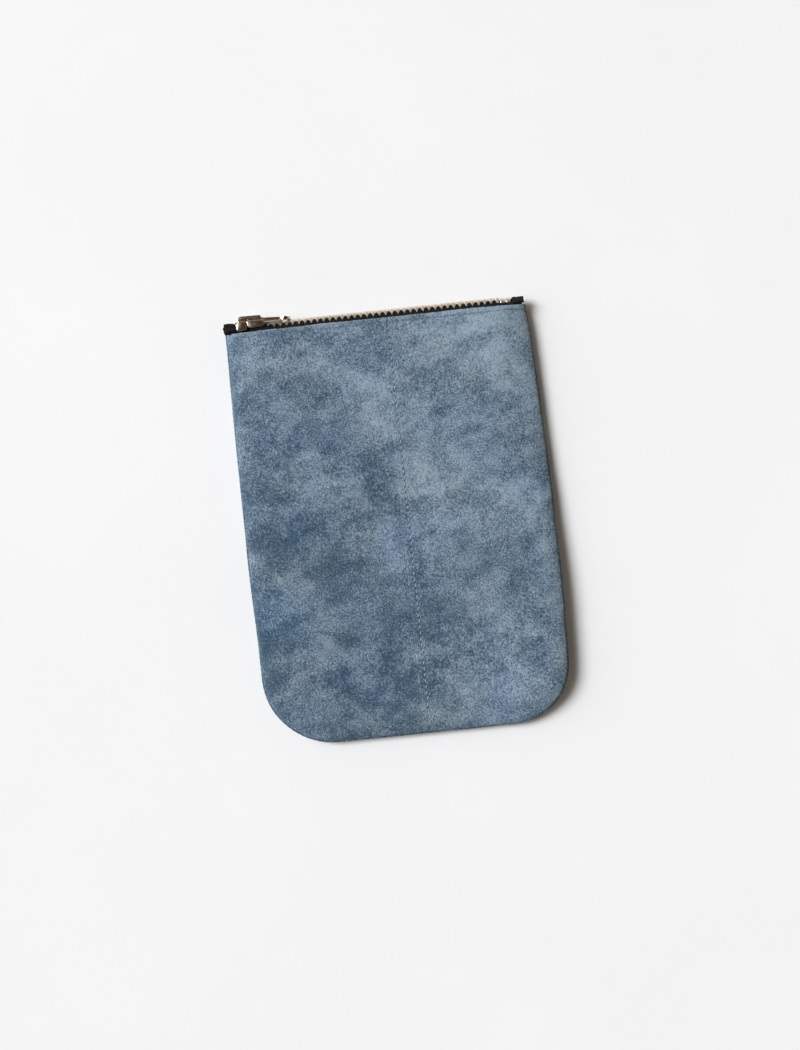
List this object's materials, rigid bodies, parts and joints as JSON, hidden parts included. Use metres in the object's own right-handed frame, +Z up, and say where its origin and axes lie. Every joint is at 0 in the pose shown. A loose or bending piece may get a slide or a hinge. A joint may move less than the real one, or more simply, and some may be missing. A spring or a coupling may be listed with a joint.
{
  "type": "zippered pouch",
  "caption": "Flat suede zippered pouch with a rounded base, a topstitched centre seam and a metal zip with a self-locking slider.",
  "frame": {"origin": "middle of the underside of the object's box, on the surface it lies on", "axes": "+Z up from the surface it lies on, +Y from the base towards the zip, +X from the slider of the closed zip towards the bottom stop"},
  "size_m": [0.121, 0.1738, 0.0107],
  "materials": {
    "suede_left": "suede nap, mottled",
    "suede_right": "suede nap, mottled",
    "suede_back": "suede nap, mottled",
    "thread": "twisted polyester thread",
    "tape": "woven herringbone tape",
    "teeth_metal": "nickel plated, polished",
    "slider_metal": "nickel plated, polished"
  },
  "bodies": {
    "back_shell": {"back_panel": "suede_back", "seam_thread_back": "thread", "mouth_stitching_back": "thread", "zipper_tape_back": "tape", "zipper_teeth_back": "teeth_metal", "top_stop_back": "teeth_metal", "bottom_stop": "teeth_metal"},
    "front_shell": {"front_panel_left": "suede_left", "front_panel_right": "suede_right", "centre_stitching": "thread", "mouth_stitching_front": "thread", "seam_thread_front": "thread", "zipper_tape_front": "tape", "zipper_teeth_front": "teeth_metal", "top_stop_front": "teeth_metal"},
    "slider": {"slider_body": "slider_metal", "slider_cap": "slider_metal", "lock_pawl": "slider_metal"},
    "pull_tab": {"pull_tab": "slider_metal"}
  },
  "joints": [
    {"name": "slider_travel", "type": "slide", "parent": "back_shell", "child": "slider", "axis": [1, 0, 0], "range_m": [0, 0.0947], "deforming": ["zipper_teeth_back", "zipper_teeth_front", "zipper_tape_front"]},
    {"name": "mouth_open", "type": "hinge", "parent": "back_shell", "child": "front_shell", "pos_m": [0, -0.0869, 0.00458], "axis": [1, 0, 0], "range_deg": [0, 8], "deforming": ["zipper_teeth_front", "zipper_tape_front", "top_stop_front"]},
    {"name": "tab_pivot", "type": "hinge", "parent": "slider", "child": "pull_tab", "pos_m": [-0.0512, 0.08535, 0.00525], "axis": [0, 0, 1], "range_deg": [0, 172]}
  ],
  "couplings": [
    {"joint": "mouth_open", "follows": "slider_travel", "rad_per_m": 1.4739}
  ]
}
